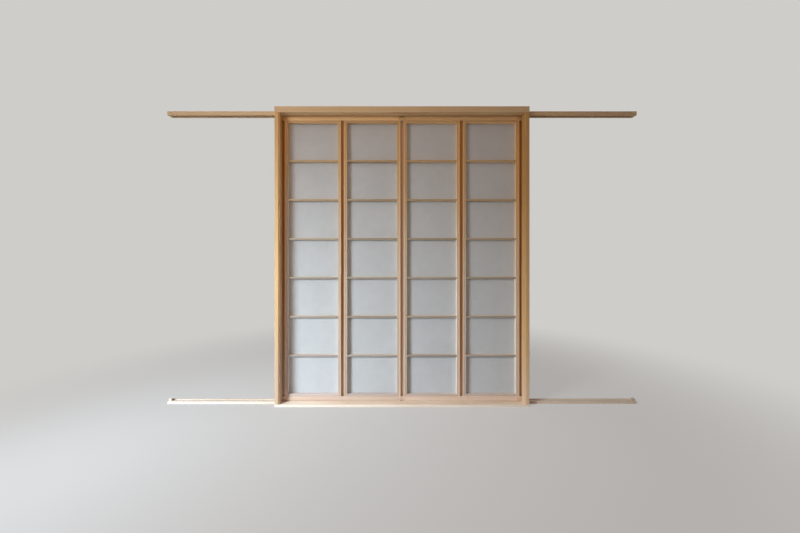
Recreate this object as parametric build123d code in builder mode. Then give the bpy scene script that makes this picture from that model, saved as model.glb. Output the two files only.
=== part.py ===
from build123d import *
import os

# A pair of paper lattice screens that part at the middle, hung in their own wooden frame.
# The origin is the middle of the sill's underside. +X is to the right as seen from the room,
# +Z is up, and the room lies on the -Y side. Sizes are in millimetres.

os.makedirs("parts", exist_ok=True)

# Doorway between the front jambs, and from the sill's top to the head's underside
clear_width = 1600
clear_height = 1910
room_reveal = 57
far_reveal = 45

# Frame around the doorway
head_height = 40
sill_thickness = 15
jamb_face = 33
jamb_bead = 6
jamb_running_gap = 3
stub_tenon_length = 8
sill_stub_length = 6
stub_tenon_margin = 8
frame_arris = 1.5

# Grooves that the panels slide in
groove_width = 21
groove_side_gap = 0.75
sill_groove_depth = 3
sill_running_gap = 0.2
head_engagement = 10
lift_room = 5
sill_shoulder_gap = 1.8
head_shoulder_gap = 2.5

# Runners and stops that carry an opened panel beside the doorway
travel = 730
runner_wall = 14
head_runner_cap = 11
stop_clearance = 1
stop_length = 18
sill_stop_rise = 12

# Panel frame
panel_thickness = 30
panel_lap = 16
meeting_gap = 1
outer_stile_face = 43
mid_stile_face = 43
meeting_stile_face = 22.5
top_rail_face = 31.5
bottom_rail_face = 31.5
panel_arris = 1

# Finger slots down every stile, with half of one on each side of the panels' joint
slot_width = 20
slot_depth = 15
slot_corner_radius = 4
outer_slot_land = 13

# Notches at the joint's top and bottom
joint_notch_height = 8
joint_notch_depth = 8

# Mortise and tenon joints of the panel frame
tenon_thickness = 10
tenon_length = 16
tenon_shoulder = 5
mid_tenon_shoulder = 10
mid_tenon_length = 14
mortise_play = 0.1

# Lattice and paper
rows = 7
bar_face = 11
bar_recess = 2.5
bar_tenon_thickness = 5
bar_tenon_depth = 14
bar_tenon_length = 6
side_strip_face = 9.5
level_strip_face = 14
strip_recess = 1.5
strip_outer_arris = 2
lattice_arris = 0.8
paper_thickness = 0.4
paper_inset = 1.5
paper_margin = 1.5

LOW = (Align.MIN, Align.MIN)
UPRIGHT = (Align.CENTER, Align.CENTER, Align.MIN)

# Places across the width, measured for the right-hand half
panel_inner_x = meeting_gap / 2
jamb_inner_x = clear_width / 2
jamb_outer_x = jamb_inner_x + jamb_face
panel_outer_x = jamb_inner_x + panel_lap
panel_width = panel_outer_x - panel_inner_x
stiles_width = meeting_stile_face + mid_stile_face + outer_stile_face
column_width = (panel_width - stiles_width) / 2
inner_column_x = panel_inner_x + meeting_stile_face
mid_stile_x = inner_column_x + column_width
mid_stile_centre_x = mid_stile_x + mid_stile_face / 2
mid_tenon_width = mid_stile_face - 2 * mid_tenon_shoulder
outer_column_x = mid_stile_x + mid_stile_face
outer_stile_x = outer_column_x + column_width
outer_slot_centre_x = outer_stile_x + outer_slot_land + slot_width / 2
runner_end_x = panel_outer_x + travel + stop_clearance + stop_length
bar_length = column_width - 2 * side_strip_face

# Places through the depth
frame_depth = room_reveal + panel_thickness + far_reveal
room_y = -frame_depth / 2
panel_front_y = room_y + room_reveal
panel_back_y = panel_front_y + panel_thickness
panel_mid_y = (panel_front_y + panel_back_y) / 2
paper_front_y = panel_back_y - paper_inset - paper_thickness
strip_front_y = panel_front_y + strip_recess
bar_front_y = panel_front_y + bar_recess
bar_mid_y = (bar_front_y + paper_front_y) / 2
tongue_thickness = groove_width - 2 * groove_side_gap
runner_depth = groove_width + 2 * runner_wall
front_jamb_depth = room_reveal - jamb_running_gap
back_jamb_y = panel_back_y + jamb_running_gap
back_jamb_depth = far_reveal - jamb_running_gap

# Places up the height
head_under_z = sill_thickness + clear_height
head_groove = (head_under_z, head_under_z + head_engagement + lift_room)
sill_groove = (sill_thickness - sill_groove_depth, sill_thickness)
panel_bottom_z = sill_thickness - sill_groove_depth + sill_running_gap
bottom_shoulder_z = sill_thickness + sill_shoulder_gap
top_shoulder_z = head_under_z - head_shoulder_gap
panel_top_z = head_under_z + head_engagement
lattice_bottom_z = sill_thickness + bottom_rail_face
lattice_top_z = head_under_z - top_rail_face
lattice_height = lattice_top_z - lattice_bottom_z
lattice_mid_z = (lattice_top_z + lattice_bottom_z) / 2
open_height = lattice_height - 2 * level_strip_face
row_pitch = (open_height + bar_face) / rows
shoulder_heights = (bottom_shoulder_z, top_shoulder_z)
full_heights = (panel_bottom_z, panel_top_z)
bottom_tenon = (bottom_shoulder_z + tenon_shoulder, lattice_bottom_z - tenon_shoulder)
top_tenon = (lattice_top_z + tenon_shoulder, top_shoulder_z - tenon_shoulder)
first_bar_z = lattice_bottom_z + level_strip_face + row_pitch - bar_face / 2
bar_heights = [first_bar_z + row_pitch * n for n in range(rows - 1)]


def stub_tenon(near_y, depth):
    """Centre, width and thickness of the stub tenons on a jamb's ends."""
    centre = (jamb_inner_x + jamb_face / 2, near_y + depth / 2)
    return centre, jamb_face - 2 * stub_tenon_margin, depth - 2 * stub_tenon_margin


front_stub = stub_tenon(room_y, front_jamb_depth)
back_stub = stub_tenon(back_jamb_y, back_jamb_depth)


def save(piece, name):
    """Label a finished piece and write it out."""
    piece.part.label = name
    export_step(piece.part, f"parts/{name}.step")


def save_both_sides(piece, right_name, left_name):
    """Write a right-hand piece and its mirror image on the left."""
    save(piece, right_name)
    with BuildPart() as opposite:
        add(mirror(piece.part, about=Plane.YZ, mode=Mode.PRIVATE))
    save(opposite, left_name)


def front_edges(piece, direction):
    """Edges along one direction on the side that faces the room."""
    return piece.edges().filter_by(direction).group_by(Axis.Y)[0]


def grooved_section(start_x, near_y, depth, heights, groove_heights):
    """Section of a head, sill or runner, across X, with the groove that the panels slide in."""
    with BuildSketch(Plane.YZ.offset(start_x)) as section:
        with Locations((near_y, heights[0])):
            Rectangle(depth, heights[1] - heights[0], align=LOW)
        with Locations((panel_mid_y - groove_width / 2, groove_heights[0])):
            Rectangle(groove_width, groove_heights[1] - groove_heights[0], align=LOW, mode=Mode.SUBTRACT)
    return section.sketch


def cut_jamb_mortises(floor_z, depth):
    """Mortises for all four jambs, in the head or the sill that is being built."""
    for centre, width, thickness in (front_stub, back_stub):
        for side in (-1, 1):
            with Locations((side * centre[0], centre[1], floor_z)):
                Box(width, thickness, depth, align=UPRIGHT, mode=Mode.SUBTRACT)


def build_head():
    section = grooved_section(
        -jamb_outer_x, room_y, frame_depth, (head_under_z, head_under_z + head_height), head_groove
    )
    with BuildPart() as head:
        extrude(section, amount=2 * jamb_outer_x)
        chamfer(front_edges(head, Axis.X), length=frame_arris)
        cut_jamb_mortises(head_under_z, stub_tenon_length)
    return head


def build_sill():
    section = grooved_section(-jamb_outer_x, room_y, frame_depth, (0, sill_thickness), sill_groove)
    with BuildPart() as sill:
        extrude(section, amount=2 * jamb_outer_x)
        chamfer(front_edges(sill, Axis.X).sort_by(Axis.Z)[-1], length=frame_arris)
        cut_jamb_mortises(sill_thickness - sill_stub_length, sill_stub_length)
    return sill


def add_stub_tenons(stub):
    """Stub tenons at both ends of the jamb that is being built."""
    centre, width, thickness = stub
    with Locations((centre[0], centre[1], sill_thickness - sill_stub_length)):
        Box(width, thickness, clear_height + sill_stub_length + stub_tenon_length, align=UPRIGHT)


def build_front_jamb():
    """Jamb on the room side, with a narrow rebate down its inner front corner."""
    with BuildPart() as jamb:
        with BuildSketch(Plane.XY.offset(sill_thickness)):
            with Locations((jamb_inner_x, room_y)):
                Rectangle(jamb_face, front_jamb_depth, align=LOW)
                Rectangle(jamb_bead, jamb_bead, align=LOW, mode=Mode.SUBTRACT)
        extrude(amount=clear_height)
        chamfer(front_edges(jamb, Axis.Z), length=frame_arris)
        add_stub_tenons(front_stub)
    return jamb


def build_back_jamb():
    """Jamb on the far side, in line with the one on the room side."""
    with BuildPart() as jamb:
        with BuildSketch(Plane.XY.offset(sill_thickness)):
            with Locations((jamb_inner_x, back_jamb_y)):
                Rectangle(jamb_face, back_jamb_depth, align=LOW)
        extrude(amount=clear_height)
        inner_corners = jamb.edges().filter_by(Axis.Z).group_by(Axis.X)[0]
        chamfer(inner_corners, length=frame_arris)
        add_stub_tenons(back_stub)
    return jamb


def build_runner(heights, groove_heights):
    """Grooved rail beside the doorway, on the same line as the head's or the sill's groove."""
    section = grooved_section(
        jamb_outer_x, panel_mid_y - runner_depth / 2, runner_depth, heights, groove_heights
    )
    with BuildPart() as runner:
        extrude(section, amount=runner_end_x - jamb_outer_x)
    return runner


def build_stop(bottom_z, top_z):
    """Block that fills the end of a runner's groove."""
    with BuildPart() as stop:
        with BuildSketch(Plane.YZ.offset(runner_end_x - stop_length)):
            with Locations((panel_mid_y - groove_width / 2, bottom_z)):
                Rectangle(groove_width, top_z - bottom_z, align=LOW)
        extrude(amount=stop_length)
    return stop


def tongued_profile(start_x, body_heights, tongue_heights):
    """Outline across X of a stile or rail at full thickness, with the thinner tongue for the grooves."""
    with BuildSketch(Plane.YZ.offset(start_x)) as profile:
        with Locations((panel_front_y, body_heights[0])):
            Rectangle(panel_thickness, body_heights[1] - body_heights[0], align=LOW)
        with Locations((panel_mid_y - tongue_thickness / 2, tongue_heights[0])):
            Rectangle(tongue_thickness, tongue_heights[1] - tongue_heights[0], align=LOW)
    return profile.sketch


def slot_cutter(centre_x):
    """Solid of a finger slot that runs from rail to rail in a stile's front."""
    with BuildPart() as cutter:
        with BuildSketch(Plane.XZ.offset(-panel_front_y)):
            with Locations((centre_x, lattice_mid_z)):
                RectangleRounded(slot_width, lattice_height, slot_corner_radius)
        extrude(amount=-slot_depth)
    return cutter.part


def cut_rail_mortises(start_x):
    """Mortises for both rails, from start_x towards +X, in the stile that is being built."""
    for low_z, high_z in (bottom_tenon, top_tenon):
        with Locations((start_x, panel_mid_y, (low_z + high_z) / 2)):
            Box(
                tenon_length + mortise_play,
                tenon_thickness + mortise_play,
                high_z - low_z + mortise_play,
                align=(Align.MIN, Align.CENTER, Align.CENTER),
                mode=Mode.SUBTRACT,
            )


def cut_joint_notches():
    """Notches at both ends of the meeting stile that is being built, beside the other panel."""
    for end_z, align in ((bottom_shoulder_z, Align.MIN), (top_shoulder_z, Align.MAX)):
        with Locations((0, panel_front_y, end_z)):
            Box(
                slot_width,
                2 * joint_notch_depth,
                joint_notch_height,
                align=(Align.CENTER, Align.CENTER, align),
                mode=Mode.SUBTRACT,
            )


def build_outer_stile():
    """Stile whose slotted front shows beside the jamb, and whose edge stays behind it."""
    profile = tongued_profile(outer_stile_x, shoulder_heights, full_heights)
    slot = slot_cutter(outer_slot_centre_x)
    with BuildPart() as stile:
        extrude(profile, amount=outer_stile_face)
        chamfer(front_edges(stile, Axis.Z), length=panel_arris)
        cut_rail_mortises(outer_stile_x)
        add(slot, mode=Mode.SUBTRACT)
    return stile


def build_meeting_stile():
    """Stile at the joint, with its half of the slot that the two shut panels form."""
    profile = tongued_profile(panel_inner_x, shoulder_heights, full_heights)
    slot = slot_cutter(0)
    with BuildPart() as stile:
        extrude(profile, amount=meeting_stile_face)
        chamfer(front_edges(stile, Axis.Z).sort_by(Axis.X)[-1], length=panel_arris)
        cut_rail_mortises(inner_column_x - tenon_length - mortise_play)
        cut_joint_notches()
        add(slot, mode=Mode.SUBTRACT)
    return stile


def build_mid_stile():
    """Wide stile between the rails, tenoned into both and slotted down its middle."""
    slot = slot_cutter(mid_stile_centre_x)
    with BuildPart() as stile:
        with BuildSketch(Plane.XY.offset(lattice_bottom_z)):
            with Locations((mid_stile_x, panel_front_y)):
                Rectangle(mid_stile_face, panel_thickness, align=LOW)
        extrude(amount=lattice_height)
        chamfer(front_edges(stile, Axis.Z), length=panel_arris)
        with Locations((mid_stile_centre_x, panel_mid_y, lattice_mid_z)):
            Box(mid_tenon_width, tenon_thickness, lattice_height + 2 * mid_tenon_length)
        add(slot, mode=Mode.SUBTRACT)
    return stile


def build_rail(body_heights, tongue_heights, tenon_heights, mortise_z, mortise_align):
    """Rail between the stiles, tenoned into both, with a mortise for the middle stile."""
    rail_length = outer_stile_x - inner_column_x
    profile = tongued_profile(inner_column_x, body_heights, tongue_heights)
    with BuildPart() as rail:
        extrude(profile, amount=rail_length)
        chamfer(front_edges(rail, Axis.X), length=panel_arris)
        with Locations((mid_stile_centre_x, panel_mid_y, sum(tenon_heights) / 2)):
            Box(rail_length + 2 * tenon_length, tenon_thickness, tenon_heights[1] - tenon_heights[0])
        with Locations((mid_stile_centre_x, panel_mid_y, mortise_z)):
            Box(
                mid_tenon_width + mortise_play,
                tenon_thickness + mortise_play,
                mid_tenon_length + mortise_play,
                align=(Align.CENTER, Align.CENTER, mortise_align),
                mode=Mode.SUBTRACT,
            )
    return rail


def build_top_rail():
    body = (lattice_top_z, top_shoulder_z)
    return build_rail(body, (lattice_top_z, panel_top_z), top_tenon, lattice_top_z, Align.MIN)


def build_bottom_rail():
    body = (bottom_shoulder_z, lattice_bottom_z)
    return build_rail(body, (panel_bottom_z, lattice_bottom_z), bottom_tenon, lattice_bottom_z, Align.MAX)


def build_backing_frame(column_x):
    """Strips round one column that the paper is pasted to, mortised for the lattice bars."""
    column_mid_x = column_x + column_width / 2
    with BuildPart() as frame:
        with BuildSketch(Plane.XZ.offset(-paper_front_y)):
            with Locations((column_mid_x, lattice_mid_z)):
                Rectangle(column_width, lattice_height)
                Rectangle(bar_length, open_height, mode=Mode.SUBTRACT)
        extrude(amount=paper_front_y - strip_front_y)
        front_face = frame.faces().sort_by(Axis.Y)[0]
        chamfer(front_face.inner_wires()[0].edges(), length=lattice_arris)
        front_face = frame.faces().sort_by(Axis.Y)[0]
        chamfer(front_face.outer_wire().edges(), length=strip_outer_arris)
        mortise_length = bar_length + 2 * (bar_tenon_length + mortise_play)
        for height in bar_heights:
            with Locations((column_mid_x, bar_mid_y, height)):
                Box(
                    mortise_length,
                    bar_tenon_depth + mortise_play,
                    bar_tenon_thickness + mortise_play,
                    mode=Mode.SUBTRACT,
                )
    return frame


def build_bar(column_x, height):
    """One lattice bar, with a stub tenon at each end."""
    column_mid_x = column_x + column_width / 2
    with BuildPart() as bar:
        with Locations((column_mid_x, bar_mid_y, height)):
            Box(bar_length, paper_front_y - bar_front_y, bar_face)
        chamfer(front_edges(bar, Axis.X), length=lattice_arris)
        with Locations((column_mid_x, bar_mid_y, height)):
            Box(bar_length + 2 * bar_tenon_length, bar_tenon_depth, bar_tenon_thickness)
    return bar


def build_paper(column_x):
    """Sheet pasted to the back of one column's bars and strips."""
    with BuildPart() as sheet:
        with BuildSketch(Plane.XZ.offset(-paper_front_y)):
            with Locations((column_x + column_width / 2, lattice_mid_z)):
                Rectangle(column_width - 2 * paper_margin, lattice_height - 2 * paper_margin)
        extrude(amount=-paper_thickness)
    return sheet


def build_doorway_frame():
    save(build_head(), "head")
    save(build_sill(), "sill")
    save_both_sides(build_front_jamb(), "front_jamb_right", "front_jamb_left")
    save_both_sides(build_back_jamb(), "back_jamb_right", "back_jamb_left")
    head_runner = build_runner((head_under_z, head_groove[1] + head_runner_cap), head_groove)
    save_both_sides(head_runner, "head_runner_right", "head_runner_left")
    sill_runner = build_runner((0, sill_thickness), sill_groove)
    save_both_sides(sill_runner, "sill_runner_right", "sill_runner_left")
    save_both_sides(build_stop(*head_groove), "head_stop_right", "head_stop_left")
    sill_stop = build_stop(sill_groove[0], sill_thickness + sill_stop_rise)
    save_both_sides(sill_stop, "sill_stop_right", "sill_stop_left")


def build_panels():
    panel_frame = {
        "outer_stile": build_outer_stile(),
        "meeting_stile": build_meeting_stile(),
        "mid_stile": build_mid_stile(),
        "top_rail": build_top_rail(),
        "bottom_rail": build_bottom_rail(),
    }
    for name, piece in panel_frame.items():
        save_both_sides(piece, f"right_{name}", f"left_{name}")
    for column, column_x in (("inner", inner_column_x), ("outer", outer_column_x)):
        backing = build_backing_frame(column_x)
        save_both_sides(backing, f"right_{column}_backing_frame", f"left_{column}_backing_frame")
        paper = build_paper(column_x)
        save_both_sides(paper, f"right_{column}_paper", f"left_{column}_paper")
        for number, height in enumerate(bar_heights, start=1):
            bar = build_bar(column_x, height)
            save_both_sides(bar, f"right_{column}_bar_{number}", f"left_{column}_bar_{number}")


build_doorway_frame()
build_panels()
print(f"doorway {clear_width} x {clear_height}, column width {column_width}, row pitch {row_pitch:.2f}")
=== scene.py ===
import math

import bpy
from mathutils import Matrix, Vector, noise


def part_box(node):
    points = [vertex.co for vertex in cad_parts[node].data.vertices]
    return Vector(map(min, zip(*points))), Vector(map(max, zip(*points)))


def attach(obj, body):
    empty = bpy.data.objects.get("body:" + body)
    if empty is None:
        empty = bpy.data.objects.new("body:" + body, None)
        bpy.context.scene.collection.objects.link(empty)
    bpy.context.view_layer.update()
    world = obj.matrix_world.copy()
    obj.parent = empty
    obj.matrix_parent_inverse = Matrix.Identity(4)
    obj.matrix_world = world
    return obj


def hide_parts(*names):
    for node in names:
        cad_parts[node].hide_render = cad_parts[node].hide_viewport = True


bl_info = {
    "name": "Paper Lattice Screen",
    "version": (1, 0, 0),
    "blender": (4, 5, 0),
    "location": "View3D > Sidebar > Screen",
    "description": "Finishes a pair of sliding paper lattice screens and their wooden frame",
    "category": "Object",
}

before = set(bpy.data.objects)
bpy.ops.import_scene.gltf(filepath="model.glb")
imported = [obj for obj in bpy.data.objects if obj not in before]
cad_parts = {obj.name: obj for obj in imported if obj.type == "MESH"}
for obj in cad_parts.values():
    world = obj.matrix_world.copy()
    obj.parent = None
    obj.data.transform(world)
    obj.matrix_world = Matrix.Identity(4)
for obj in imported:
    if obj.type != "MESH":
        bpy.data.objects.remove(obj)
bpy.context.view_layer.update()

MM = 0.001
SIDES = ("left", "right")
COLUMNS = ("inner", "outer")

# The doorway and the panels, read from the frame
SILL_LOW, SILL_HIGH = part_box("sill")
HEAD_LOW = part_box("head")[0]
BAR_COUNT = sum(name.startswith("left_inner_bar_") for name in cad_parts)
LATTICE_LOW, LATTICE_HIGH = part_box("left_inner_backing_frame")

# Which way a board's grain runs
UPRIGHT = "upright"
LEVEL = "level"
STRIPS_ROUND_COLUMN = "strips"

UNCHANGED = (1.0, 1.0, 1.0)

# Eased edges
WELD_REACH = 0.001 * MM
ARRIS_SEGMENTS = 2
SHARP_ANGLE = 30

# How far a board's own random number, from 0 to 1, shifts it in its log, in metres
LOG_SIDEWAYS = 0.09
LOG_OUTWARD = 0.15
LOG_LENGTH = 7.0

# A board's second random number is the first times this, less its whole part
SECOND_DRAW = 17.0

# Noise in the wood, in blotches per metre across, through and along a board
WANDER_SCALE = (7, 7, 0.7)
STREAK_SCALE = (38, 38, 1.3)
SHADE_SCALE = (9, 9, 0.5)
FIBRE_SCALE = (900, 900, 22)

# Dry and wet years, in blotches per metre of the log's radius, and how far noise pushes a ring
YEARS_SCALE = (60, 1, 1)
RING_WANDER = 5 * MM

# Where in a year's growth the late wood starts and ends, and the noise that makes a streak
LATE_START = (0.35, 0.9)
LATE_END = (0.92, 1.0)
STREAK_EDGE = (0.42, 0.75)

# How far the wood's tone and roughness swing, what end grain does to them, and what real wear and
# painted shade do to roughness
SHADE_REACH = 0.10
FIBRE_REACH = 0.05
END_GRAIN_EDGE = (0.6, 0.9)
END_GRAIN_TONE = -0.22
WOOD_ROUGHNESS = 0.56
LATE_ROUGHNESS = -0.07
FIBRE_ROUGHNESS = 0.08
WEAR_AND_SHADE_ROUGHNESS = -0.14

# Relief of the late wood and the fibres
LATE_RELIEF = 0.6
FIBRE_RELIEF = 0.5
WOOD_BUMP = 0.35
WOOD_BUMP_DEPTH = 0.12 * MM

# Shares of the way from foot to top at which the painted light in the wood's tones, and the painted
# shade in the slots, start or end
PALE_BY = 0.5
AMBER_FROM = 0.45
SLOT_SHADE_FROM = -0.1

# The sill's rubbed line: how far behind its middle, and where it fades to either side
RUBBED_OFFSET = 6 * MM
RUBBED_EDGE = (9 * MM, 14 * MM)

# Painted shade in the slots grows from their mouths in, and painted shade on the fronts of bars and
# strips is a thin skin
SLOT_MOUTH = (2 * MM, 8 * MM)
SLOT_FLOOR = (12 * MM, 8 * MM)
FRONT_SHADE_SKIN = (0.4 * MM, 1.0 * MM)

# Puckers: how wide a band beside the paste stays calm, finer ones, and each sheet's own noise
PUCKER_EDGE = 45 * MM
FINE_PUCKER_STEP = 2.3
FINE_PUCKER_SHARE = 0.45
SHEET_SEED_STEP = 3.7

# Clouds and stray fibres in the paper, in blotches per metre
CLOUD_SCALE = (24, 24, 24)
BLOTCH_SCALE = (6, 6, 6)
STRAND_SCALES = ((150, 150, 45), (45, 45, 150), (90, 90, 90))
STRAND_CURL = 1.6
STRAND_WIDTH = 0.02
CLOUD_EDGE = (0.35, 0.65)

# How strongly clouds and fibres show on the paper, and how they change the light through it
CLOUD_REACH = 0.05
BLOTCH_REACH = 0.03
FIBRE_SHARE = 0.5
FIBRE_DENSITY = 0.25
BLUE_THROUGH = 0.93

# The paper's skin
PAPER_ROUGHNESS = 0.86
PAPER_FIBRE_ROUGHNESS = -0.1
PAPER_SHEEN = 0.25
PAPER_FIBRE_RELIEF = 0.6
PAPER_BUMP = 0.25
PAPER_BUMP_DEPTH = 0.08 * MM

# Lamps: name, place, target, width and height, colour and spread in degrees. The stage settings
# hold the power of each
LAMPS = (
    ("window", (-3.6, -2.6, 1.7), (-1.2, 0, -0.3), (0.9, 0.9), (0.68, 0.85, 1.0), 60),
    ("sky", (-3.4, -3.4, 2.4), (-0.6, 0, 0.2), (0.9, 0.9), (0.90, 0.98, 1.0), 55),
    ("floor", (-2.2, -1.8, 0.4), (-0.3, 0, 0.2), (2.2, 0.6), (0.85, 0.8, 1.0), 180),
    ("ceiling", (-0.8, -1.6, 2.9), (0, 0, 1.6), (2.4, 1.6), (1.0, 0.66, 0.45), 180),
    ("far_room", (1.2, 3.0, 2.3), (0, 0, 1.0), (2.0, 2.0), (1.0, 0.95, 0.88), 180),
)
WORLD_COLOUR = (1.0, 0.82, 0.86)

# The photograph's frame, and where its camera's axis and the horizon meet it, in pixels
PHOTO_WIDTH, PHOTO_HEIGHT = 800, 533
AXIS_X, HORIZON_Y = 402, 253
SENSOR_WIDTH = 36


class WoodSettings(bpy.types.PropertyGroup):
    """Colours and grain of the planed cypress boards."""

    early_colour: bpy.props.FloatVectorProperty(
        name="Early Wood",
        description="Pale colour between the growth rings",
        subtype="COLOR",
        size=3,
        min=0,
        max=1,
        default=(0.88, 0.68, 0.46),
    )
    late_colour: bpy.props.FloatVectorProperty(
        name="Late Wood",
        description="Darker colour of the thin ring lines",
        subtype="COLOR",
        size=3,
        min=0,
        max=1,
        default=(0.66, 0.41, 0.21),
    )
    # These three tones and the slant are painted light: the fall of light up the screen and away from
    # the window, painted into the wood's colour as a cool foot, a pale middle and warm amber near the
    # head
    painted_foot_light: bpy.props.FloatVectorProperty(
        name="Painted Foot Light",
        description="Tone of the wood at the foot",
        subtype="COLOR",
        size=3,
        min=0,
        max=2,
        default=(0.80, 0.76, 0.86),
    )
    painted_middle_light: bpy.props.FloatVectorProperty(
        name="Painted Middle Light",
        description="Tone of the wood half-way up, where it is palest",
        subtype="COLOR",
        size=3,
        min=0,
        max=2,
        default=(0.97, 0.91, 0.93),
    )
    # Painted warm light from above near the head
    painted_top_light: bpy.props.FloatVectorProperty(
        name="Painted Top Light",
        description="Tone of the wood near the head, where it has turned amber",
        subtype="COLOR",
        size=3,
        min=0,
        max=2,
        default=(1.08, 0.93, 0.60),
    )
    painted_light_slant: bpy.props.FloatProperty(
        name="Painted Light Slant",
        description="How much a step away from the window counts as a step up, in the wood's tone",
        default=0.2,
    )
    ring_spacing: bpy.props.FloatProperty(
        name="Ring Spacing",
        description="Distance between two growth rings on a quartered face",
        subtype="DISTANCE",
        unit="LENGTH",
        min=0.0005,
        default=2.4 * MM,
    )
    pith_distance: bpy.props.FloatProperty(
        name="Pith Distance",
        description="How far off the middle of the log lies from a board",
        subtype="DISTANCE",
        unit="LENGTH",
        min=0.05,
        default=0.34,
    )
    line_strength: bpy.props.FloatProperty(
        name="Ring Lines",
        description="How strongly the ring lines show",
        subtype="FACTOR",
        min=0,
        max=1,
        default=0.42,
    )
    streak_strength: bpy.props.FloatProperty(
        name="Streaks",
        description="How strongly the broad streaks along a board show",
        subtype="FACTOR",
        min=0,
        max=1,
        default=0.35,
    )
    board_spread: bpy.props.FloatProperty(
        name="Board to Board",
        description="How much the boards differ in tone",
        subtype="FACTOR",
        min=0,
        max=1,
        default=0.12,
    )
    arris_width: bpy.props.FloatProperty(
        name="Eased Edges",
        description="Width of the fine bevel that a plane leaves along every edge",
        subtype="DISTANCE",
        unit="LENGTH",
        min=0,
        default=0.35 * MM,
    )


class PaperSettings(bpy.types.PropertyGroup):
    """Colour, fibres and puckers of the pasted paper."""

    colour: bpy.props.FloatVectorProperty(
        name="Paper",
        description="Colour of the paper's ground",
        subtype="COLOR",
        size=3,
        min=0,
        max=1,
        default=(0.70, 0.70, 0.70),
    )
    fibre_colour: bpy.props.FloatVectorProperty(
        name="Fibres",
        description="Colour of the long fibres in the paper",
        subtype="COLOR",
        size=3,
        min=0,
        max=1,
        default=(0.80, 0.795, 0.775),
    )
    light_through: bpy.props.FloatProperty(
        name="Light Through",
        description="Share of the light that passes through the sheet",
        subtype="FACTOR",
        min=0,
        max=1,
        default=0.34,
    )
    pucker_height: bpy.props.FloatProperty(
        name="Pucker Height",
        description="How far the free paper stands off its flat between the bars",
        subtype="DISTANCE",
        unit="LENGTH",
        min=0,
        default=0.45 * MM,
    )
    pucker_size: bpy.props.FloatProperty(
        name="Pucker Size",
        description="Width of one soft pucker",
        subtype="DISTANCE",
        unit="LENGTH",
        min=0.01,
        default=75 * MM,
    )
    grid_step: bpy.props.FloatProperty(
        name="Grid Step",
        description="Size of the squares in the paper's mesh",
        subtype="DISTANCE",
        unit="LENGTH",
        min=0.002,
        default=9 * MM,
    )
    side_strip: bpy.props.FloatProperty(
        name="Side Strip",
        description="Width of the upright strips that the paper's edges are pasted to",
        subtype="DISTANCE",
        unit="LENGTH",
        min=0,
        default=9.5 * MM,
    )
    level_strip: bpy.props.FloatProperty(
        name="Level Strip",
        description="Height of the strips at a column's top and bottom that the paper is pasted to",
        subtype="DISTANCE",
        unit="LENGTH",
        min=0,
        default=14 * MM,
    )


class StageSettings(bpy.types.PropertyGroup):
    """Floor, lamps and camera."""

    backdrop_colour: bpy.props.FloatVectorProperty(
        name="Backdrop",
        description="Plain pale colour behind the screen",
        subtype="COLOR",
        size=3,
        min=0,
        max=1,
        default=(0.62, 0.61, 0.59),
    )
    floor_colour: bpy.props.FloatVectorProperty(
        name="Floor",
        description="Colour of the floor near the screen",
        subtype="COLOR",
        size=3,
        min=0,
        max=1,
        default=(0.66, 0.63, 0.61),
    )
    floor_half_width: bpy.props.FloatProperty(
        name="Floor Half Width",
        description="Distance from the screen to the floor's edge",
        subtype="DISTANCE",
        unit="LENGTH",
        default=40,
    )
    floor_evenness: bpy.props.FloatProperty(
        name="Floor Evenness",
        description="Share of the plain backdrop in the floor near the screen",
        subtype="FACTOR",
        min=0,
        max=1,
        default=0.6,
    )
    fade_start: bpy.props.FloatProperty(
        name="Fade Start",
        description="Distance at which the floor starts to fade into the backdrop",
        subtype="DISTANCE",
        unit="LENGTH",
        default=1.3,
    )
    fade_end: bpy.props.FloatProperty(
        name="Fade End",
        description="Distance at which the floor has become the backdrop",
        subtype="DISTANCE",
        unit="LENGTH",
        default=3.2,
    )
    lens: bpy.props.FloatProperty(
        name="Lens",
        description="Focal length of the camera, in millimetres",
        min=1,
        default=15.39,
    )
    camera_distance: bpy.props.FloatProperty(
        name="Camera Distance",
        description="How far the camera stands in front of the screen's middle",
        subtype="DISTANCE",
        unit="LENGTH",
        default=2.299,
    )
    camera_height: bpy.props.FloatProperty(
        name="Camera Height",
        description="Height of the camera over the floor",
        subtype="DISTANCE",
        unit="LENGTH",
        default=1.006,
    )
    window_power: bpy.props.FloatProperty(
        name="Window Light",
        description="Power of the main light from the left, in watts",
        default=28,
    )
    sky_power: bpy.props.FloatProperty(
        name="Sky Light",
        description="Power of the higher light from the left, in watts",
        default=12,
    )
    floor_power: bpy.props.FloatProperty(
        name="Floor Light",
        description="Power of the low light that a room's floor throws back, in watts",
        default=5,
    )
    ceiling_power: bpy.props.FloatProperty(
        name="Ceiling Light",
        description="Power of the warm light from above, in watts",
        default=12.5,
    )
    far_room_power: bpy.props.FloatProperty(
        name="Far Room Light",
        description="Power of the weak light behind the screen, in watts",
        default=10,
    )
    world_level: bpy.props.FloatProperty(
        name="World Light",
        description="Level of the even light from all round",
        default=0.135,
    )


def add_node(tree, kind, **settings):
    """A new shader node with its settings."""
    node = tree.nodes.new(kind)
    for name, value in settings.items():
        setattr(node, name, value)
    return node


def feed(tree, value, socket):
    """Join an output to a socket, or set the socket to a plain value."""
    if isinstance(value, bpy.types.NodeSocket):
        tree.links.new(value, socket)
    else:
        socket.default_value = value


def calc(tree, operation, *values, clamp=False):
    """Sum on one or more numbers."""
    node = add_node(tree, "ShaderNodeMath", operation=operation, use_clamp=clamp)
    for value, socket in zip(values, node.inputs):
        feed(tree, value, socket)
    return node.outputs[0]


def vector(tree, x, y, z):
    """Three numbers as one vector or colour."""
    node = add_node(tree, "ShaderNodeCombineXYZ")
    for value, socket in zip((x, y, z), node.inputs):
        feed(tree, value, socket)
    return node.outputs[0]


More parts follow.
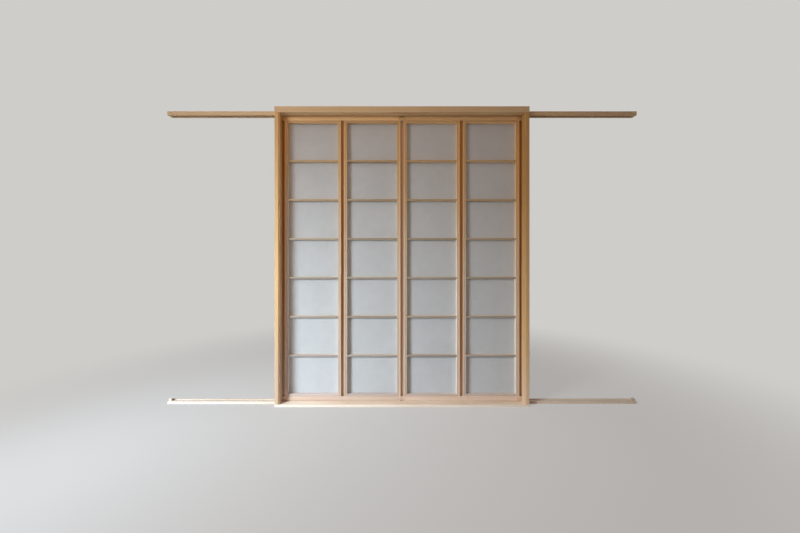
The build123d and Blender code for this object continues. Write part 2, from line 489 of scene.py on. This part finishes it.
def speckle(tree, place, scale, detail=2.0, distortion=0.0):
    """Smooth noise between 0 and 1. scale counts its blotches per metre along each axis."""
    stretch = add_node(tree, "ShaderNodeVectorMath", operation="MULTIPLY")
    feed(tree, place, stretch.inputs[0])
    stretch.inputs[1].default_value = scale
    node = add_node(tree, "ShaderNodeTexNoise")
    feed(tree, stretch.outputs[0], node.inputs["Vector"])
    node.inputs["Scale"].default_value = 1.0
    node.inputs["Detail"].default_value = detail
    node.inputs["Distortion"].default_value = distortion
    return node.outputs["Fac"]


def swing(tree, value, reach):
    """Turns noise between 0 and 1 into a shift of up to reach either way."""
    return calc(tree, "MULTIPLY", calc(tree, "SUBTRACT", value, 0.5), 2 * reach)


def between(tree, value, low, high, out_low=0.0, out_high=1.0):
    """Smooth step of value from low to high."""
    node = add_node(tree, "ShaderNodeMapRange", interpolation_type="SMOOTHSTEP")
    for given, socket in zip((value, low, high, out_low, out_high), node.inputs):
        feed(tree, given, socket)
    return node.outputs[0]


def mix_number(tree, factor, first, second):
    """Blend of two numbers: the first at factor 0, the second at factor 1."""
    node = add_node(tree, "ShaderNodeMix", data_type="FLOAT")
    for value, socket in zip((factor, first, second), node.inputs[0:1] + node.inputs[2:4]):
        feed(tree, value, socket)
    return node.outputs[0]


def mix_colour(tree, factor, first, second, blend="MIX"):
    """Blend of two colours: the first at factor 0, the second laid over it at factor 1."""
    node = add_node(tree, "ShaderNodeMix", data_type="RGBA", blend_type=blend)
    feed(tree, factor, node.inputs["Factor"])
    for value, socket in zip((first, second), node.inputs[6:8]):
        feed(tree, value if isinstance(value, bpy.types.NodeSocket) else (*value, 1.0), socket)
    return node.outputs[2]


def new_material(name):
    """Material with an empty node tree, and its output."""
    material = bpy.data.materials.new(name)
    material.use_nodes = True
    tree = material.node_tree
    tree.nodes.clear()
    return material, tree, add_node(tree, "ShaderNodeOutputMaterial")


def make_bump(tree, height, strength, distance):
    """Fine relief, as a changed face direction."""
    bump = add_node(tree, "ShaderNodeBump")
    bump.inputs["Strength"].default_value = strength
    bump.inputs["Distance"].default_value = distance
    feed(tree, height, bump.inputs["Height"])
    return bump.outputs[0]


def board_axes(tree, grain):
    """Across, depth and length of a point in its board, and the length part of its face's direction."""
    texture = add_node(tree, "ShaderNodeTexCoord")
    place = add_node(tree, "ShaderNodeSeparateXYZ")
    facing = add_node(tree, "ShaderNodeSeparateXYZ")
    feed(tree, texture.outputs["Object"], place.inputs[0])
    feed(tree, texture.outputs["Normal"], facing.inputs[0])
    x, y, z = place.outputs
    if grain == UPRIGHT:
        return x, y, z, facing.outputs["Z"]
    if grain == LEVEL:
        return z, y, x, facing.outputs["X"]
    # The strips round a column run level at its top and bottom, and upright at its sides
    middle = (LATTICE_LOW.z + LATTICE_HIGH.z) / 2
    reach = (LATTICE_HIGH.z - LATTICE_LOW.z) / 2 - bpy.context.scene.shoji_paper.level_strip
    off_middle = calc(tree, "ABSOLUTE", calc(tree, "SUBTRACT", z, middle))
    level = calc(tree, "GREATER_THAN", off_middle, reach)
    return (
        mix_number(tree, level, x, z),
        y,
        mix_number(tree, level, z, x),
        mix_number(tree, level, facing.outputs["Z"], facing.outputs["X"]),
    )


def painted_light_height(tree):
    """Where a point lies in the painted light: from 0 at the foot to 1 at the top, and more away from
    the window.
    """
    wood = bpy.context.scene.shoji_wood
    place = add_node(tree, "ShaderNodeSeparateXYZ")
    feed(tree, add_node(tree, "ShaderNodeTexCoord").outputs["Object"], place.inputs[0])
    from_window = calc(tree, "SUBTRACT", place.outputs["X"], HEAD_LOW.x)
    out_of_sun = calc(tree, "MULTIPLY_ADD", from_window, wood.painted_light_slant, place.outputs["Z"])
    return calc(tree, "DIVIDE", out_of_sun, HEAD_LOW.z, clamp=True)


def painted_light_tone(tree, painted_foot_tone, painted_middle_tone):
    """Painted light in the wood's tone: cool at the foot, palest half-way up and warm amber at the top,
    as the light falls on it.
    """
    wood = bpy.context.scene.shoji_wood
    light_height = painted_light_height(tree)
    foot = tuple(base * change for base, change in zip(wood.painted_foot_light, painted_foot_tone))
    middle = tuple(base * change for base, change in zip(wood.painted_middle_light, painted_middle_tone))
    lower = mix_colour(tree, between(tree, light_height, 0.0, PALE_BY), foot, middle)
    return mix_colour(tree, between(tree, light_height, AMBER_FROM, 1.0), lower, wood.painted_top_light)


def place_in_log(tree, board, across, depth, along):
    """A point's place in the log that its board was cut from, and its distance from the pith."""
    wood = bpy.context.scene.shoji_wood
    pith = calc(tree, "MULTIPLY_ADD", board, LOG_OUTWARD, wood.pith_distance)
    from_pith = calc(tree, "ADD", across, pith)
    sideways = calc(tree, "ADD", depth, swing(tree, board, LOG_SIDEWAYS))
    own_length = calc(tree, "MULTIPLY_ADD", board, LOG_LENGTH, along)
    sideways_squared = calc(tree, "MULTIPLY", sideways, sideways)
    radius = calc(tree, "SQRT", calc(tree, "MULTIPLY_ADD", from_pith, from_pith, sideways_squared))
    return vector(tree, from_pith, sideways, own_length), radius


def late_wood(tree, point, radius):
    """Thin dark part of each ring. The rings wander along the board and crowd in dry years."""
    wood = bpy.context.scene.shoji_wood
    wander = swing(tree, speckle(tree, point, WANDER_SCALE), RING_WANDER)
    years = speckle(tree, vector(tree, radius, 0.0, 0.0), YEARS_SCALE, detail=1.0)
    years = swing(tree, years, RING_WANDER)
    ringed = calc(tree, "ADD", calc(tree, "ADD", radius, wander), years)
    phase = calc(tree, "FRACT", calc(tree, "DIVIDE", ringed, wood.ring_spacing))
    start = between(tree, phase, *LATE_START)
    return calc(tree, "MULTIPLY", start, between(tree, phase, *LATE_END, 1.0, 0.0))


def board_level(tree, board, point, fibre, end):
    """How light a board is: its own level, its soft shade, its fibres and its darker end grain."""
    wood = bpy.context.scene.shoji_wood
    other = calc(tree, "FRACT", calc(tree, "MULTIPLY", board, SECOND_DRAW))
    level = calc(tree, "ADD", 1.0, swing(tree, other, wood.board_spread))
    shade = speckle(tree, point, SHADE_SCALE, detail=1.0)
    level = calc(tree, "ADD", level, swing(tree, shade, SHADE_REACH))
    level = calc(tree, "ADD", level, swing(tree, fibre, FIBRE_REACH))
    end_grain = between(tree, calc(tree, "ABSOLUTE", end), *END_GRAIN_EDGE)
    return calc(tree, "MULTIPLY", level, calc(tree, "MULTIPLY_ADD", end_grain, END_GRAIN_TONE, 1.0))


def make_wood(
    name,
    grain,
    tone=UNCHANGED,
    painted_foot_tone=UNCHANGED,
    painted_middle_tone=UNCHANGED,
    wear_and_shade=None,
    wear_and_shade_tone=UNCHANGED,
):
    """Planed cypress with rings, streaks and fibres that run through the board as in a real one.

    The tones multiply the colour: everywhere, at the foot and half-way up as painted light, and where
    the mask marks real wear on the sill and painted shade in slots and on fronts.
    """
    wood = bpy.context.scene.shoji_wood
    material, tree, output = new_material(name)
    across, depth, along, end = board_axes(tree, grain)
    board = add_node(tree, "ShaderNodeObjectInfo").outputs["Random"]
    point, radius = place_in_log(tree, board, across, depth, along)
    late = late_wood(tree, point, radius)
    streak = speckle(tree, point, STREAK_SCALE, detail=3.0)
    fibre = speckle(tree, point, FIBRE_SCALE, detail=2.0)
    level = board_level(tree, board, point, fibre, end)

    # Colour
    lines = calc(tree, "MULTIPLY", late, wood.line_strength)
    tint = calc(tree, "MULTIPLY", between(tree, streak, *STREAK_EDGE), wood.streak_strength)
    darkness = calc(tree, "ADD", lines, tint, clamp=True)
    colour = mix_colour(tree, darkness, wood.early_colour, wood.late_colour)
    roughness = calc(tree, "MULTIPLY_ADD", late, LATE_ROUGHNESS, WOOD_ROUGHNESS)
    roughness = calc(tree, "ADD", roughness, swing(tree, fibre, FIBRE_ROUGHNESS))
    # The mask marks real wear on the sill, and painted shade in the stiles' slots and on the lattice's
    # fronts
    if wear_and_shade is not None:
        wear_and_shade_share = wear_and_shade(tree, depth)
        wear_and_shade_colour = mix_colour(tree, wear_and_shade_share, UNCHANGED, wear_and_shade_tone)
        colour = mix_colour(tree, 1.0, colour, wear_and_shade_colour, "MULTIPLY")
        roughness = calc(tree, "MULTIPLY_ADD", wear_and_shade_share, WEAR_AND_SHADE_ROUGHNESS, roughness)
    board_tone = vector(tree, *(calc(tree, "MULTIPLY", level, channel) for channel in tone))
    toned = mix_colour(tree, 1.0, colour, board_tone, "MULTIPLY")
    toned = mix_colour(tree, 1.0, toned, painted_light_tone(tree, painted_foot_tone, painted_middle_tone), "MULTIPLY")

    # Relief: the late wood stands a little proud, and fine fibres cover all
    relief = calc(tree, "MULTIPLY_ADD", fibre, FIBRE_RELIEF, calc(tree, "MULTIPLY", late, LATE_RELIEF))
    bump = make_bump(tree, relief, WOOD_BUMP, WOOD_BUMP_DEPTH)

    shader = add_node(tree, "ShaderNodeBsdfPrincipled")
    feed(tree, toned, shader.inputs["Base Color"])
    feed(tree, roughness, shader.inputs["Roughness"])
    feed(tree, bump, shader.inputs["Normal"])
    feed(tree, shader.outputs[0], output.inputs["Surface"])
    return material


def rubbed_groove(tree, depth):
    """Wear where the panels slide and feet cross the sill."""
    middle = (SILL_LOW.y + SILL_HIGH.y) / 2 + RUBBED_OFFSET
    off_line = calc(tree, "ABSOLUTE", calc(tree, "SUBTRACT", depth, middle))
    return between(tree, off_line, *RUBBED_EDGE, 1.0, 0.0)


def painted_slot_shade(tree, depth):
    """Painted shade inside the finger slots, fading in from their mouths and weaker towards the foot.
    """
    front, back = (corner.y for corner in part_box("left_mid_stile"))
    past_mouth = between(tree, depth, *(front + edge for edge in SLOT_MOUTH))
    before_floor = between(tree, depth, *(back - edge for edge in SLOT_FLOOR), 1.0, 0.0)
    in_slot = calc(tree, "MULTIPLY", past_mouth, before_floor)
    shade_by_height = between(tree, painted_light_height(tree), SLOT_SHADE_FROM, PALE_BY)
    return calc(tree, "MULTIPLY", in_slot, shade_by_height)


def painted_front_shade(tree, depth):
    """Painted shade on the front faces of the bars and strips: a thin skin, darker than their other
    sides.
    """
    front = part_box("left_inner_bar_1")[0].y
    return between(tree, depth, *(front + edge for edge in FRONT_SHADE_SKIN), 1.0, 0.0)


def finish_boards(names, material):
    """Give CAD boards their wood, and ease their edges."""
    arris = bpy.context.scene.shoji_wood.arris_width
    for name in names:
        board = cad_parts[name]
        board.data.materials.clear()
        board.data.materials.append(material)
        weld = board.modifiers.new("One skin", "WELD")
        weld.merge_threshold = WELD_REACH
        ease = board.modifiers.new("Eased edges", "BEVEL")
        ease.width = arris
        ease.segments = ARRIS_SEGMENTS
        ease.limit_method = "ANGLE"
        ease.angle_limit = math.radians(SHARP_ANGLE)


class SHOJI_OT_head_and_sill(bpy.types.Operator):
    """Finish the head, the sill and the runners and stops beside the doorway"""

    bl_idname = "shoji.head_and_sill"
    bl_label = "Head and Sill"

    def execute(self, context):
        # The head's and sill's own tones are painted light, each set to how it is lit: the sill paler
        # and cooler, the head less amber
        head_wood = make_wood("Head cypress", LEVEL, tone=(0.82, 0.93, 1.20))
        sill_wood = make_wood(
            "Sill cypress",
            LEVEL,
            tone=(1.20, 1.40, 1.52),
            wear_and_shade=rubbed_groove,
            wear_and_shade_tone=(0.9, 0.9, 0.9),
        )
        for level, wood in (("head", head_wood), ("sill", sill_wood)):
            beside = [f"{level}_{part}_{side}" for part in ("runner", "stop") for side in SIDES]
            finish_boards([level, *beside], wood)
        return {"FINISHED"}


class SHOJI_OT_jambs(bpy.types.Operator):
    """Finish the four jambs"""

    bl_idname = "shoji.jambs"
    bl_label = "Jambs"

    def execute(self, context):
        # The two jambs are lit and shaded copies of one wood, as painted light: the right jamb is
        # painted much brighter and cooler towards its foot, and the left jamb stays darker there, as
        # painted shade
        painted_shade_jamb = make_wood(
            "Left jamb cypress",
            UPRIGHT,
            tone=(0.80, 0.77, 0.68),
            painted_middle_tone=(1.06, 0.98, 0.70),
        )
        painted_light_jamb = make_wood(
            "Right jamb cypress",
            UPRIGHT,
            tone=(0.67, 0.61, 0.48),
            painted_foot_tone=(1.80, 2.05, 2.45),
            painted_middle_tone=(1.30, 1.27, 1.04),
        )
        for side, wood in zip(SIDES, (painted_shade_jamb, painted_light_jamb)):
            finish_boards([f"{face}_jamb_{side}" for face in ("front", "back")], wood)
        return {"FINISHED"}


class SHOJI_OT_stiles(bpy.types.Operator):
    """Finish the panels' stiles"""

    bl_idname = "shoji.stiles"
    bl_label = "Stiles"

    def execute(self, context):
        # Painted light: the foot and middle tones brighten and cool the stiles where more light falls,
        # and the slot tone is painted shade in the finger slots
        wood = make_wood(
            "Stile cypress",
            UPRIGHT,
            tone=(0.90, 0.88, 0.84),
            painted_foot_tone=(1.12, 1.14, 1.17),
            painted_middle_tone=(1.05, 1.11, 1.18),
            wear_and_shade=painted_slot_shade,
            wear_and_shade_tone=(0.67, 0.46, 0.25),
        )
        parts = ("outer", "mid", "meeting")
        finish_boards([f"{side}_{part}_stile" for part in parts for side in SIDES], wood)
        return {"FINISHED"}


class SHOJI_OT_rails(bpy.types.Operator):
    """Finish the panels' rails"""

    bl_idname = "shoji.rails"
    bl_label = "Rails"

    def execute(self, context):
        # The two rails' own tones are painted light, each set to how it is lit: the top rail brighter
        # against the shade under the head
        top = make_wood("Top rail cypress", LEVEL, tone=(1.08, 1.08, 1.18))
        bottom = make_wood("Bottom rail cypress", LEVEL, tone=(1.02, 1.07, 1.12))
        finish_boards([f"{side}_top_rail" for side in SIDES], top)
        finish_boards([f"{side}_bottom_rail" for side in SIDES], bottom)
        return {"FINISHED"}


class SHOJI_OT_lattice(bpy.types.Operator):
    """Finish the lattice bars and the strips round each column"""

    bl_idname = "shoji.lattice"
    bl_label = "Lattice"

    def execute(self, context):
        # Painted light: the foot and middle tones follow the light's fall up the lattice, and the front
        # tones are painted shade on the fronts of the bars and strips
        bars = make_wood(
            "Bar cypress",
            LEVEL,
            tone=(0.96, 0.98, 1.02),
            painted_foot_tone=(1.10, 1.28, 1.48),
            painted_middle_tone=(0.90, 1.00, 0.97),
            wear_and_shade=painted_front_shade,
            wear_and_shade_tone=(0.58, 0.60, 0.66),
        )
        strips = make_wood(
            "Strip cypress",
            STRIPS_ROUND_COLUMN,
            tone=(1.0, 1.03, 1.15),
            painted_foot_tone=(1.15, 1.30, 1.45),
            painted_middle_tone=(1.12, 1.30, 1.40),
            wear_and_shade=painted_front_shade,
            wear_and_shade_tone=(0.68, 0.65, 0.60),
        )
        columns = [f"{side}_{column}" for side in SIDES for column in COLUMNS]
        numbers = range(1, BAR_COUNT + 1)
        finish_boards([f"{column}_bar_{number}" for column in columns for number in numbers], bars)
        finish_boards([f"{column}_backing_frame" for column in columns], strips)
        return {"FINISHED"}


def held_lines(column):
    """Heights of the pasted places up one column, as (low, high) pairs."""
    pasted = bpy.context.scene.shoji_paper.level_strip
    lines = [(LATTICE_LOW.z, LATTICE_LOW.z + pasted)]
    for number in range(1, BAR_COUNT + 1):
        low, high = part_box(f"{column}_bar_{number}")
        lines.append((low.z, high.z))
    lines.append((LATTICE_HIGH.z - pasted, LATTICE_HIGH.z))
    return lines


def pucker(x, z, column_low, column_high, lines, seed):
    """How far the paper stands off its flat at one point: nothing where it is pasted."""
    paper = bpy.context.scene.shoji_paper
    free_side = min(x - column_low.x, column_high.x - x) - paper.side_strip
    free_height = min(max(low - z, z - high) for low, high in lines)
    free = min(max(min(free_side, free_height) / PUCKER_EDGE, 0.0), 1.0)
    rise = free * free * (3 - 2 * free)
    place = Vector((x / paper.pucker_size, z / paper.pucker_size, seed))
    height = noise.noise(place) + FINE_PUCKER_SHARE * noise.noise(FINE_PUCKER_STEP * place)
    return paper.pucker_height * rise * height


def make_sheet(side, column, seed, material):
    """One pasted sheet, taut on the bars and faintly puckered in between."""
    paper = bpy.context.scene.shoji_paper
    name = f"{side}_{column}"
    low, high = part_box(f"{name}_paper")
    column_low, column_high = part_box(f"{name}_backing_frame")
    lines = held_lines(name)
    across = round((high.x - low.x) / paper.grid_step)
    up = round((high.z - low.z) / paper.grid_step)
    points = []
    for row in range(up + 1):
        z = low.z + (high.z - low.z) * row / up
        for step in range(across + 1):
            x = low.x + (high.x - low.x) * step / across
            points.append((x, low.y + pucker(x, z, column_low, column_high, lines, seed), z))
    width = across + 1
    starts = [row * width + step for row in range(up) for step in range(across)]
    faces = [(start, start + 1, start + width + 1, start + width) for start in starts]
    mesh = bpy.data.meshes.new(f"{name}_sheet")
    mesh.from_pydata(points, [], faces)
    mesh.polygons.foreach_set("use_smooth", [True] * len(faces))
    mesh.materials.append(material)
    sheet = bpy.data.objects.new(f"{name}_sheet", mesh)
    bpy.context.scene.collection.objects.link(sheet)
    body = sheet.modifiers.new("Thickness", "SOLIDIFY")
    body.thickness = high.y - low.y
    body.offset = -1
    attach(sheet, f"{side}_panel")
    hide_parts(f"{name}_paper")


def stray_fibres(tree, place, cloud):
    """Long curling fibres that show where the paper is cloudy."""
    strands = []
    for scale in STRAND_SCALES:
        wave = speckle(tree, place, scale, detail=1.0, distortion=STRAND_CURL)
        off_line = calc(tree, "ABSOLUTE", calc(tree, "SUBTRACT", wave, 0.5))
        strands.append(between(tree, off_line, 0.0, STRAND_WIDTH, 1.0, 0.0))
    fibres = calc(tree, "MAXIMUM", calc(tree, "MAXIMUM", strands[0], strands[1]), strands[2])
    return calc(tree, "MULTIPLY", fibres, between(tree, cloud, *CLOUD_EDGE))


def make_paper():
    """Handmade paper: cloudy ground and long stray fibres, which let less light through."""
    paper = bpy.context.scene.shoji_paper
    material, tree, output = new_material("Handmade paper")
    place = add_node(tree, "ShaderNodeTexCoord").outputs["Object"]
    cloud = speckle(tree, place, CLOUD_SCALE, detail=4.0)
    blotch = speckle(tree, place, BLOTCH_SCALE, detail=2.0)
    fibres = stray_fibres(tree, place, cloud)

    # Colour off the sheet and through it
    shown = calc(tree, "MULTIPLY", fibres, FIBRE_SHARE)
    ground = mix_colour(tree, shown, paper.colour, paper.fibre_colour)
    level = calc(tree, "ADD", 1.0, swing(tree, cloud, CLOUD_REACH))
    level = calc(tree, "ADD", level, swing(tree, blotch, BLOTCH_REACH))
    colour = mix_colour(tree, 1.0, ground, vector(tree, level, level, level), "MULTIPLY")
    dense = calc(tree, "SUBTRACT", 1.0, calc(tree, "MULTIPLY", fibres, FIBRE_DENSITY))
    warm = vector(tree, dense, dense, calc(tree, "MULTIPLY", dense, BLUE_THROUGH))
    through = mix_colour(tree, 1.0, colour, warm, "MULTIPLY")

    # A matte skin that lets some light pass
    relief = calc(tree, "MULTIPLY_ADD", fibres, PAPER_FIBRE_RELIEF, cloud)
    roughness = calc(tree, "MULTIPLY_ADD", fibres, PAPER_FIBRE_ROUGHNESS, PAPER_ROUGHNESS)
    matte = add_node(tree, "ShaderNodeBsdfPrincipled")
    feed(tree, colour, matte.inputs["Base Color"])
    feed(tree, roughness, matte.inputs["Roughness"])
    matte.inputs["Specular IOR Level"].default_value = PAPER_SHEEN
    feed(tree, make_bump(tree, relief, PAPER_BUMP, PAPER_BUMP_DEPTH), matte.inputs["Normal"])
    glow = add_node(tree, "ShaderNodeBsdfTranslucent")
    feed(tree, through, glow.inputs["Color"])
    both = add_node(tree, "ShaderNodeMixShader")
    both.inputs[0].default_value = paper.light_through
    feed(tree, matte.outputs[0], both.inputs[1])
    feed(tree, glow.outputs[0], both.inputs[2])
    feed(tree, both.outputs[0], output.inputs["Surface"])
    return material


class SHOJI_OT_paper(bpy.types.Operator):
    """Paste a sheet of paper to the back of each column"""

    bl_idname = "shoji.paper"
    bl_label = "Paper"

    def execute(self, context):
        material = make_paper()
        places = [(side, column) for side in SIDES for column in COLUMNS]
        for number, (side, column) in enumerate(places):
            make_sheet(side, column, SHEET_SEED_STEP * number, material)
        return {"FINISHED"}


def seen_directly(tree):
    """1 for what the camera sees, also through gloss and glass."""
    path = add_node(tree, "ShaderNodeLightPath")
    seen = calc(tree, "MAXIMUM", path.outputs["Is Camera Ray"], path.outputs["Is Glossy Ray"])
    return calc(tree, "MAXIMUM", seen, path.outputs["Is Transmission Ray"])


def make_floor_paint():
    """Plain paint that fades into the backdrop far from the screen, so that no edge shows."""
    stage = bpy.context.scene.shoji_stage
    material, tree, output = new_material("Floor paint")
    geometry = add_node(tree, "ShaderNodeNewGeometry")
    length = add_node(tree, "ShaderNodeVectorMath", operation="LENGTH")
    feed(tree, geometry.outputs["Position"], length.inputs[0])
    fade = (stage.fade_start, stage.fade_end, stage.floor_evenness, 1.0)
    far = between(tree, length.outputs["Value"], *fade)
    paint = add_node(tree, "ShaderNodeBsdfDiffuse")
    paint.inputs["Color"].default_value = (*stage.floor_colour, 1.0)
    backdrop = add_node(tree, "ShaderNodeEmission")
    backdrop.inputs["Color"].default_value = (*stage.backdrop_colour, 1.0)
    both = add_node(tree, "ShaderNodeMixShader")
    feed(tree, calc(tree, "MULTIPLY", far, seen_directly(tree)), both.inputs[0])
    feed(tree, paint.outputs[0], both.inputs[1])
    feed(tree, backdrop.outputs[0], both.inputs[2])
    feed(tree, both.outputs[0], output.inputs["Surface"])
    return material


def make_floor():
    """Wide flat floor under the screen."""
    half = bpy.context.scene.shoji_stage.floor_half_width
    corners = [(-half, -half, 0), (half, -half, 0), (half, half, 0), (-half, half, 0)]
    mesh = bpy.data.meshes.new("floor")
    mesh.from_pydata(corners, [], [(0, 1, 2, 3)])
    floor = bpy.data.objects.new("floor", mesh)
    bpy.context.scene.collection.objects.link(floor)
    mesh.materials.append(make_floor_paint())


def make_world():
    """Even light from all round, behind a plain backdrop colour."""
    stage = bpy.context.scene.shoji_stage
    world = bpy.data.worlds.new("Studio")
    bpy.context.scene.world = world
    world.use_nodes = True
    tree = world.node_tree
    tree.nodes.clear()
    output = add_node(tree, "ShaderNodeOutputWorld")
    light = add_node(tree, "ShaderNodeBackground")
    light.inputs["Color"].default_value = (*WORLD_COLOUR, 1.0)
    light.inputs["Strength"].default_value = stage.world_level
    backdrop = add_node(tree, "ShaderNodeBackground")
    backdrop.inputs["Color"].default_value = (*stage.backdrop_colour, 1.0)
    both = add_node(tree, "ShaderNodeMixShader")
    feed(tree, seen_directly(tree), both.inputs[0])
    feed(tree, light.outputs[0], both.inputs[1])
    feed(tree, backdrop.outputs[0], both.inputs[2])
    feed(tree, both.outputs[0], output.inputs["Surface"])


def make_lamp(name, place, target, size, colour, spread):
    """Soft rectangular lamp at a place, turned to a target."""
    light = bpy.data.lights.new(f"{name}_light", "AREA")
    light.shape = "RECTANGLE"
    light.size, light.size_y = size
    light.energy = getattr(bpy.context.scene.shoji_stage, f"{name}_power")
    light.color = colour
    light.spread = math.radians(spread)
    lamp = bpy.data.objects.new(f"{name}_light", light)
    lamp.location = place
    lamp.rotation_euler = (Vector(target) - Vector(place)).to_track_quat("-Z", "Y").to_euler()
    lamp.visible_camera = False
    bpy.context.scene.collection.objects.link(lamp)


def make_camera():
    """Camera that stands and looks as the photograph's did."""
    stage = bpy.context.scene.shoji_stage
    lens = bpy.data.cameras.new("camera")
    lens.lens = stage.lens
    lens.sensor_width = SENSOR_WIDTH
    lens.shift_x = (PHOTO_WIDTH / 2 - AXIS_X) / PHOTO_WIDTH
    lens.shift_y = (HORIZON_Y - PHOTO_HEIGHT / 2) / PHOTO_WIDTH
    camera = bpy.data.objects.new("camera", lens)
    camera.location = (0, -stage.camera_distance, stage.camera_height)
    camera.rotation_euler = (math.radians(90), 0, 0)
    bpy.context.scene.collection.objects.link(camera)
    bpy.context.scene.camera = camera


class SHOJI_OT_stage(bpy.types.Operator):
    """Set up the floor, the backdrop, the lamps and the camera"""

    bl_idname = "shoji.stage"
    bl_label = "Stage"

    def execute(self, context):
        make_floor()
        make_world()
        make_camera()
        for lamp in LAMPS:
            make_lamp(*lamp)
        context.scene.view_settings.view_transform = "Standard"
        return {"FINISHED"}


PIECE_OPERATORS = (
    SHOJI_OT_head_and_sill,
    SHOJI_OT_jambs,
    SHOJI_OT_stiles,
    SHOJI_OT_rails,
    SHOJI_OT_lattice,
    SHOJI_OT_paper,
    SHOJI_OT_stage,
)


class SHOJI_PT_sidebar(bpy.types.Panel):
    """Sizes, colours and buttons of the screen"""

    bl_idname = "SHOJI_PT_sidebar"
    bl_label = "Paper Lattice Screen"
    bl_space_type = "VIEW_3D"
    bl_region_type = "UI"
    bl_category = "Screen"

    def draw(self, context):
        layout = self.layout
        for title, settings in (
            ("Wood", context.scene.shoji_wood),
            ("Paper", context.scene.shoji_paper),
            ("Stage", context.scene.shoji_stage),
        ):
            box = layout.box()
            box.label(text=title)
            for name in settings.__annotations__:
                box.prop(settings, name)
        for operator in PIECE_OPERATORS:
            layout.operator(operator.bl_idname)


SETTINGS = {
    "shoji_wood": WoodSettings,
    "shoji_paper": PaperSettings,
    "shoji_stage": StageSettings,
}
CLASSES = (*SETTINGS.values(), *PIECE_OPERATORS, SHOJI_PT_sidebar)


def register():
    """Register every class and hang the settings on the scene."""
    for cls in CLASSES:
        bpy.utils.register_class(cls)
    for name, group in SETTINGS.items():
        setattr(bpy.types.Scene, name, bpy.props.PointerProperty(type=group))


def unregister():
    """Undo register."""
    for name in SETTINGS:
        delattr(bpy.types.Scene, name)
    for cls in reversed(CLASSES):
        bpy.utils.unregister_class(cls)


def main():
    """Register the add-on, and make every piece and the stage."""
    register()
    bpy.ops.shoji.head_and_sill()
    bpy.ops.shoji.jambs()
    bpy.ops.shoji.stiles()
    bpy.ops.shoji.rails()
    bpy.ops.shoji.lattice()
    bpy.ops.shoji.paper()
    bpy.ops.shoji.stage()


if __name__ == "__main__":
    main()
